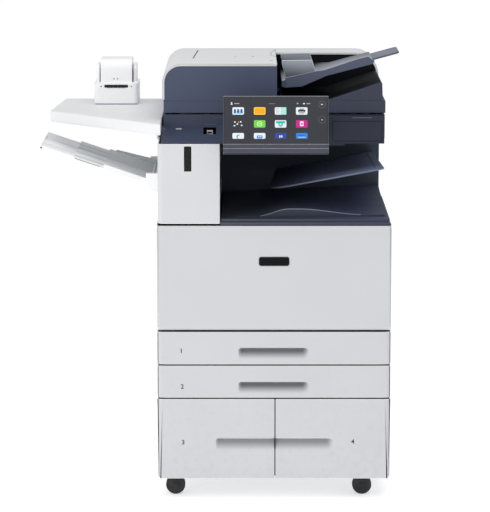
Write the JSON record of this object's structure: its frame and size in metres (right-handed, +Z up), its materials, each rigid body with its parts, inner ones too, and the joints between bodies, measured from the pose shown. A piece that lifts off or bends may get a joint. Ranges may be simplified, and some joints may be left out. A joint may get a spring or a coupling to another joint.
{
  "type": "multifunction photocopier",
  "caption": "Floor-standing office photocopier with document feeder, tilting touch screen, paper trays, bypass tray, side shelf with stapler and casters.",
  "frame": {"origin": "middle of the bounding box at floor level", "axes": "+Z up, the machine faces -Y, +X to the right of somebody who stands in front of it"},
  "size_m": [0.9636, 0.734, 1.1834],
  "materials": {
    "white_panel": "fine-textured white ABS",
    "warm_white": "smooth warm white ABS",
    "navy_panel": "fine-textured dark navy ABS",
    "dark_navy": "matt, almost black",
    "grey_plastic": "matt mid grey",
    "light_grey": "matt light grey",
    "black_plastic": "satin black",
    "steel": "zinc-plated sheet",
    "glass": "clear, polished",
    "screen_black": "glossy touch panel",
    "tyre": "hard grey-black caster tread",
    "roller_rubber": "soft roller rubber",
    "toner_black": "satin",
    "toner_cyan": "satin",
    "toner_magenta": "satin",
    "toner_yellow": "satin"
  },
  "bodies": {
    "cabinet": {"frame": "steel", "left_cover": "white_panel", "right_cover": "white_panel", "rear_cover": "white_panel", "power_inlet": "black_plastic", "column_cover": "white_panel", "sensor_window": "screen_black", "left_upper_cover": "white_panel", "lower_output_tray": "navy_panel", "rear_bay_cover": "dark_navy", "upper_output_tray": "navy_panel", "inner_front_panel": "grey_plastic", "toner_black": "toner_black", "toner_cyan": "toner_cyan", "toner_magenta": "toner_magenta", "toner_yellow": "toner_yellow", "waste_toner_bottle": "light_grey", "laser_unit": "grey_plastic", "drum_unit": "black_plastic", "transfer_belt_unit": "grey_plastic", "fuser_unit": "steel", "scanner_housing": "navy_panel", "platen_glass": "glass", "usb_socket": "steel", "work_surface": "white_panel", "stapler_body": "warm_white", "bypass_housing": "white_panel"},
    "front_cover": {"front_cover": "white_panel"},
    "tray_1": {"tray_1_front": "white_panel", "tray_1_bin": "grey_plastic"},
    "tray_2": {"tray_2_front": "white_panel", "tray_2_bin": "grey_plastic"},
    "tray_3": {"tray_3_front": "white_panel", "tray_3_bin": "grey_plastic"},
    "tray_4": {"tray_4_front": "white_panel", "tray_4_bin": "grey_plastic"},
    "scan_carriage": {"scan_carriage": "black_plastic"},
    "wake_button": {"wake_button": "light_grey"},
    "screen": {"screen_housing": "grey_plastic", "screen_glass": "screen_black"},
    "feeder": {"feeder_base": "navy_panel", "platen_cushion": "warm_white", "feeder_rear_housing": "white_panel"},
    "feeder_top_cover": {"feeder_top_cover": "white_panel"},
    "feed_roller": {"feed_roller": "roller_rubber"},
    "document_tray": {"document_tray": "navy_panel"},
    "document_guide_front": {"document_guide_front": "light_grey"},
    "document_guide_rear": {"document_guide_rear": "light_grey"},
    "document_tray_extension": {"document_tray_extension": "light_grey"},
    "bypass_tray": {"bypass_tray": "light_grey"},
    "bypass_extension_1": {"bypass_extension_1": "light_grey"},
    "bypass_extension_2": {"bypass_extension_2": "light_grey"},
    "caster_front_left_swivel": {"caster_front_left_fork": "black_plastic"},
    "caster_front_left_wheel": {"caster_front_left_wheel": "tyre"},
    "caster_rear_left_swivel": {"caster_rear_left_fork": "black_plastic"},
    "caster_rear_left_wheel": {"caster_rear_left_wheel": "tyre"},
    "caster_front_right_swivel": {"caster_front_right_fork": "black_plastic"},
    "caster_front_right_wheel": {"caster_front_right_wheel": "tyre"},
    "caster_rear_right_swivel": {"caster_rear_right_fork": "black_plastic"},
    "caster_rear_right_wheel": {"caster_rear_right_wheel": "tyre"}
  },
  "joints": [
    {"name": "front_cover_hinge", "type": "hinge", "parent": "cabinet", "child": "front_cover", "pos_m": [0.14491, -0.27845, 0.469], "axis": [1, 0, 0], "range_deg": [0, 85]},
    {"name": "tray_1_slide", "type": "slide", "parent": "cabinet", "child": "tray_1", "axis": [0, -1, 0], "range_m": [0, 0.42]},
    {"name": "tray_2_slide", "type": "slide", "parent": "cabinet", "child": "tray_2", "axis": [0, -1, 0], "range_m": [0, 0.42]},
    {"name": "tray_3_slide", "type": "slide", "parent": "cabinet", "child": "tray_3", "axis": [0, -1, 0], "range_m": [0, 0.42]},
    {"name": "tray_4_slide", "type": "slide", "parent": "cabinet", "child": "tray_4", "axis": [0, -1, 0], "range_m": [0, 0.42]},
    {"name": "carriage_slide", "type": "slide", "parent": "cabinet", "child": "scan_carriage", "axis": [1, 0, 0], "range_m": [0, 0.43]},
    {"name": "wake_button_press", "type": "slide", "parent": "cabinet", "child": "wake_button", "axis": [0, 0.2835, -0.959], "range_m": [0, 0.0015], "stiffness_N_per_m": 400, "springref_m": -0.001},
    {"name": "screen_tilt", "type": "hinge", "parent": "cabinet", "child": "screen", "pos_m": [0.14491, -0.31645, 0.985], "axis": [-1, 0, 0], "range_deg": [-12, 45]},
    {"name": "feeder_hinge", "type": "hinge", "parent": "cabinet", "child": "feeder", "pos_m": [0.14491, 0.35155, 1.0265], "axis": [-1, 0, 0], "range_deg": [0, 70]},
    {"name": "feeder_top_cover_hinge", "type": "hinge", "parent": "feeder", "child": "feeder_top_cover", "pos_m": [-0.14958, 0.01155, 1.0635], "axis": [0, -1, 0], "range_deg": [0, 60]},
    {"name": "feed_roller_spin", "type": "hinge", "parent": "feeder", "child": "feed_roller", "pos_m": [0.03492, -0.00845, 1.124], "axis": [0, 1, 0], "continuous": true},
    {"name": "document_tray_lift", "type": "hinge", "parent": "feeder", "child": "document_tray", "pos_m": [0.16292, 0.01155, 1.156], "axis": [0, -1, 0], "range_deg": [0, 30]},
    {"name": "document_guide_front_slide", "type": "slide", "parent": "document_tray", "child": "document_guide_front", "axis": [0, 1, 0], "range_m": [-0.045, 0.06]},
    {"name": "document_guide_rear_slide", "type": "slide", "parent": "document_tray", "child": "document_guide_rear", "axis": [0, 1, 0], "range_m": [-0.06, 0.045]},
    {"name": "document_tray_extension_slide", "type": "slide", "parent": "document_tray", "child": "document_tray_extension", "axis": [-0.9654, 0, -0.2607], "range_m": [0, 0.055]},
    {"name": "bypass_fold", "type": "hinge", "parent": "cabinet", "child": "bypass_tray", "pos_m": [-0.18008, 0.01155, 0.843], "axis": [0, 1, 0], "range_deg": [0, 4]},
    {"name": "bypass_slide_1", "type": "slide", "parent": "bypass_tray", "child": "bypass_extension_1", "axis": [0.9478, 0, -0.319], "range_m": [0, 0.085]},
    {"name": "bypass_slide_2", "type": "slide", "parent": "bypass_extension_1", "child": "bypass_extension_2", "axis": [0.9478, 0, -0.319], "range_m": [0, 0.085]},
    {"name": "caster_front_left_swivel_turn", "type": "hinge", "parent": "cabinet", "child": "caster_front_left_swivel", "pos_m": [-0.13709, -0.22645, 0.056], "axis": [0, 0, 1], "continuous": true},
    {"name": "caster_front_left_wheel_spin", "type": "hinge", "parent": "caster_front_left_swivel", "child": "caster_front_left_wheel", "pos_m": [-0.11908, -0.22645, 0.026], "axis": [0, 1, 0], "continuous": true},
    {"name": "caster_rear_left_swivel_turn", "type": "hinge", "parent": "cabinet", "child": "caster_rear_left_swivel", "pos_m": [-0.13709, 0.30155, 0.056], "axis": [0, 0, 1], "continuous": true},
    {"name": "caster_rear_left_wheel_spin", "type": "hinge", "parent": "caster_rear_left_swivel", "child": "caster_rear_left_wheel", "pos_m": [-0.11908, 0.30155, 0.026], "axis": [0, 1, 0], "continuous": true},
    {"name": "caster_front_right_swivel_turn", "type": "hinge", "parent": "cabinet", "child": "caster_front_right_swivel", "pos_m": [0.36491, -0.22645, 0.056], "axis": [0, 0, 1], "continuous": true},
    {"name": "caster_front_right_wheel_spin", "type": "hinge", "parent": "caster_front_right_swivel", "child": "caster_front_right_wheel", "pos_m": [0.38292, -0.22645, 0.026], "axis": [0, 1, 0], "continuous": true},
    {"name": "caster_rear_right_swivel_turn", "type": "hinge", "parent": "cabinet", "child": "caster_rear_right_swivel", "pos_m": [0.36491, 0.30155, 0.056], "axis": [0, 0, 1], "continuous": true},
    {"name": "caster_rear_right_wheel_spin", "type": "hinge", "parent": "caster_rear_right_swivel", "child": "caster_rear_right_wheel", "pos_m": [0.38292, 0.30155, 0.026], "axis": [0, 1, 0], "continuous": true}
  ],
  "couplings": [
    {"joint": "document_guide_rear_slide", "follows": "document_guide_front_slide", "ratio": -1}
  ]
}
